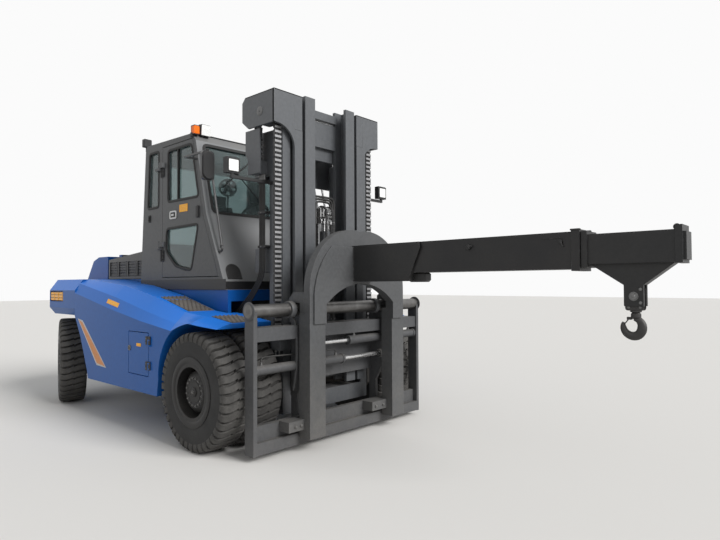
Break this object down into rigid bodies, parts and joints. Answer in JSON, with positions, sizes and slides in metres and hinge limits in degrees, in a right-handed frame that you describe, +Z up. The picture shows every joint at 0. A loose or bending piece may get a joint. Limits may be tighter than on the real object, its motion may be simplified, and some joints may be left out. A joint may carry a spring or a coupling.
{
  "type": "forklift truck",
  "caption": "Heavy counterbalance forklift truck with an enclosed cab, twin front tyres, a staged mast and a telescopic crane jib with a hook on its carriage.",
  "frame": {"origin": "on the ground, below the middle of the drive axle", "axes": "+X forward, +Y to the truck's left, +Z up"},
  "size_m": [7.994, 3.0102, 3.531],
  "materials": {
    "paint_blue": "satin paint, dusty",
    "paint_grey": "satin paint",
    "mast_grey": "satin paint, worn at the edges",
    "jib_grey": "gloss paint",
    "frame_black": "satin paint, dusty",
    "axle_black": "painted casting",
    "engine_grey": "rough",
    "rim_grey": "satin paint",
    "tyre_rubber": "worn rubber, dusty",
    "trim_black": "grained",
    "seat_fabric": "woven",
    "glass_clear": "clear, light tint",
    "rail_steel": "powder coat",
    "lamp_plastic": "clear coloured lens",
    "pad_rubber": "ribbed",
    "hose_rubber": "matt",
    "chain_steel": "oiled",
    "bright_steel": "polished",
    "hook_steel": "worn paint"
  },
  "bodies": {
    "chassis": {"drive_axle": "axle_black", "chassis_frame": "frame_black", "engine": "engine_grey", "steer_axle": "axle_black", "side_bodies": "paint_blue", "counterweight": "paint_blue", "rear_grille": "trim_black", "cab_base": "paint_blue", "cab_shell": "paint_grey", "cab_glass": "glass_clear", "seat": "seat_fabric", "dashboard": "trim_black", "rails_mirrors": "rail_steel", "lamps": "lamp_plastic", "step_pads": "pad_rubber"},
    "mast_outer": {"mast_hoses": "hose_rubber", "mast_outer": "mast_grey", "lift_barrels": "mast_grey", "mast_lamps": "lamp_plastic"},
    "steer_rod": {"steer_rod": "bright_steel"},
    "steer_link_right": {"steer_link_right": "frame_black"},
    "steer_link_left": {"steer_link_left": "frame_black"},
    "knuckle_right": {"knuckle_right": "axle_black"},
    "knuckle_left": {"knuckle_left": "axle_black"},
    "rear_wheel_right": {"tyre_rear_right": "tyre_rubber", "rim_rear_right": "rim_grey"},
    "rear_wheel_left": {"tyre_rear_left": "tyre_rubber", "rim_rear_left": "rim_grey"},
    "front_wheels_right": {"tyres_front_right": "tyre_rubber", "rims_front_right": "rim_grey"},
    "front_wheels_left": {"tyres_front_left": "tyre_rubber", "rims_front_left": "rim_grey"},
    "door_right": {"door_right": "paint_grey", "door_glass_right": "glass_clear"},
    "door_left": {"door_left": "paint_grey", "door_glass_left": "glass_clear"},
    "side_door_right": {"side_door_right": "paint_blue"},
    "side_door_left": {"side_door_left": "paint_blue"},
    "engine_hood": {"engine_hood": "paint_blue"},
    "tilt_barrel_right": {"tilt_barrel_right": "frame_black"},
    "tilt_barrel_left": {"tilt_barrel_left": "frame_black"},
    "tilt_rod_right": {"tilt_rod_right": "bright_steel"},
    "tilt_rod_left": {"tilt_rod_left": "bright_steel"},
    "mast_middle": {"mast_middle": "mast_grey", "lift_rods": "bright_steel", "chain_sheaves": "mast_grey", "main_chains": "chain_steel"},
    "mast_inner": {"mast_inner": "mast_grey", "free_lift_barrel": "mast_grey", "free_lift_chains": "chain_steel", "carriage_hoses": "hose_rubber"},
    "free_lift_rod": {"free_lift_rod": "bright_steel"},
    "carriage": {"carriage_frame": "mast_grey", "carriage_shaft": "bright_steel", "positioners": "mast_grey", "jib_frame": "jib_grey"},
    "jib_boom": {"jib_boom": "jib_grey"},
    "hook_block": {"hook_block": "hook_steel"},
    "hook": {"hook": "hook_steel"}
  },
  "joints": [
    {"name": "front_wheels_right_spin", "type": "hinge", "parent": "chassis", "child": "front_wheels_right", "pos_m": [0, -0.9125, 0.5625], "axis": [0, 1, 0], "continuous": true},
    {"name": "front_wheels_left_spin", "type": "hinge", "parent": "chassis", "child": "front_wheels_left", "pos_m": [0, 0.9125, 0.5625], "axis": [0, 1, 0], "continuous": true},
    {"name": "steer_right", "type": "hinge", "parent": "chassis", "child": "knuckle_right", "pos_m": [-3.32, -1.01, 0.5625], "axis": [0, 0, 1], "range_deg": [-27, 63]},
    {"name": "steer_left", "type": "hinge", "parent": "chassis", "child": "knuckle_left", "pos_m": [-3.32, 1.01, 0.5625], "axis": [0, 0, 1], "range_deg": [-27, 63]},
    {"name": "steer_cylinder", "type": "slide", "parent": "chassis", "child": "steer_rod", "axis": [0, 1, 0], "range_m": [-0.09, 0.2]},
    {"name": "steer_link_right_turn", "type": "hinge", "parent": "knuckle_right", "child": "steer_link_right", "pos_m": [-3.11434, -1.02425, 0.413], "axis": [0, 0, 1], "range_deg": [-63, 27]},
    {"name": "steer_link_left_turn", "type": "hinge", "parent": "knuckle_left", "child": "steer_link_left", "pos_m": [-3.14524, 0.90064, 0.413], "axis": [0, 0, 1], "range_deg": [-63, 27]},
    {"name": "rear_wheel_right_spin", "type": "hinge", "parent": "knuckle_right", "child": "rear_wheel_right", "pos_m": [-3.38119, -1.19831, 0.5625], "axis": [0.309, 0.9511, 0], "continuous": true},
    {"name": "rear_wheel_left_spin", "type": "hinge", "parent": "knuckle_left", "child": "rear_wheel_left", "pos_m": [-3.25881, 1.19831, 0.5625], "axis": [0.309, 0.9511, 0], "continuous": true},
    {"name": "mast_tilt", "type": "hinge", "parent": "chassis", "child": "mast_outer", "pos_m": [0.3, 0, 0.5], "axis": [0, 1, 0], "range_deg": [-10, 5], "deforming": ["mast_hoses"]},
    {"name": "tilt_barrel_right_swing", "type": "hinge", "parent": "chassis", "child": "tilt_barrel_right", "pos_m": [-1.1, -0.58, 1.02], "axis": [0, 1, 0], "range_deg": [-1, 2]},
    {"name": "tilt_barrel_left_swing", "type": "hinge", "parent": "chassis", "child": "tilt_barrel_left", "pos_m": [-1.1, 0.58, 1.02], "axis": [0, 1, 0], "range_deg": [-1, 2]},
    {"name": "tilt_rod_right_stroke", "type": "slide", "parent": "tilt_barrel_right", "child": "tilt_rod_right", "axis": [0.9895, 0, 0.1448], "range_m": [-0.13, 0.07]},
    {"name": "tilt_rod_left_stroke", "type": "slide", "parent": "tilt_barrel_left", "child": "tilt_rod_left", "axis": [0.9895, 0, 0.1448], "range_m": [-0.13, 0.07]},
    {"name": "mast_lift", "type": "slide", "parent": "mast_outer", "child": "mast_middle", "axis": [0, 0, 1], "range_m": [0, 1.9], "deforming": ["main_chains"]},
    {"name": "inner_lift", "type": "slide", "parent": "mast_middle", "child": "mast_inner", "axis": [0, 0, 1], "range_m": [0, 1.9]},
    {"name": "carriage_lift", "type": "slide", "parent": "mast_inner", "child": "carriage", "axis": [0, 0, 1], "range_m": [0, 1.7], "deforming": ["free_lift_chains", "carriage_hoses"]},
    {"name": "free_lift_stroke", "type": "slide", "parent": "mast_inner", "child": "free_lift_rod", "axis": [0, 0, 1], "range_m": [0, 0.85]},
    {"name": "jib_extend", "type": "slide", "parent": "carriage", "child": "jib_boom", "axis": [1, 0, 0], "range_m": [0, 0.9]},
    {"name": "hook_swing", "type": "hinge", "parent": "jib_boom", "child": "hook_block", "pos_m": [3.505, 0, 1.48], "axis": [0, 1, 0], "range_deg": [-30, 30]},
    {"name": "hook_swivel", "type": "hinge", "parent": "hook_block", "child": "hook", "pos_m": [3.505, 0, 1.4], "axis": [0, 0, 1], "continuous": true},
    {"name": "door_right_swing", "type": "hinge", "parent": "chassis", "child": "door_right", "pos_m": [-1.56, -0.905, 2.5], "axis": [0, 0, 1], "range_deg": [-100, 0]},
    {"name": "door_left_swing", "type": "hinge", "parent": "chassis", "child": "door_left", "pos_m": [-1.56, 0.905, 2.5], "axis": [0, 0, 1], "range_deg": [0, 100]},
    {"name": "engine_hood_lift", "type": "hinge", "parent": "chassis", "child": "engine_hood", "pos_m": [-3.293, 0, 2.004], "axis": [0, -1, 0], "range_deg": [0, 55]},
    {"name": "side_door_right_swing", "type": "hinge", "parent": "chassis", "child": "side_door_right", "pos_m": [-0.796, -1.429, 0.85], "axis": [0, 0, 1], "range_deg": [0, 100]},
    {"name": "side_door_left_swing", "type": "hinge", "parent": "chassis", "child": "side_door_left", "pos_m": [-0.796, 1.429, 0.85], "axis": [0, 0, 1], "range_deg": [-100, 0]}
  ],
  "couplings": [
    {"joint": "steer_left", "follows": "steer_right", "ratio": 1},
    {"joint": "steer_cylinder", "follows": "steer_right", "m_per_rad": 0.18},
    {"joint": "steer_link_right_turn", "follows": "steer_right", "ratio": -1},
    {"joint": "steer_link_left_turn", "follows": "steer_right", "ratio": -1},
    {"joint": "tilt_barrel_right_swing", "follows": "mast_tilt", "ratio": -0.08},
    {"joint": "tilt_barrel_left_swing", "follows": "mast_tilt", "ratio": -0.08},
    {"joint": "tilt_rod_right_stroke", "follows": "mast_tilt", "m_per_rad": 0.71},
    {"joint": "tilt_rod_left_stroke", "follows": "mast_tilt", "m_per_rad": 0.71},
    {"joint": "inner_lift", "follows": "mast_lift", "ratio": 1},
    {"joint": "free_lift_stroke", "follows": "carriage_lift", "ratio": 0.5}
  ]
}
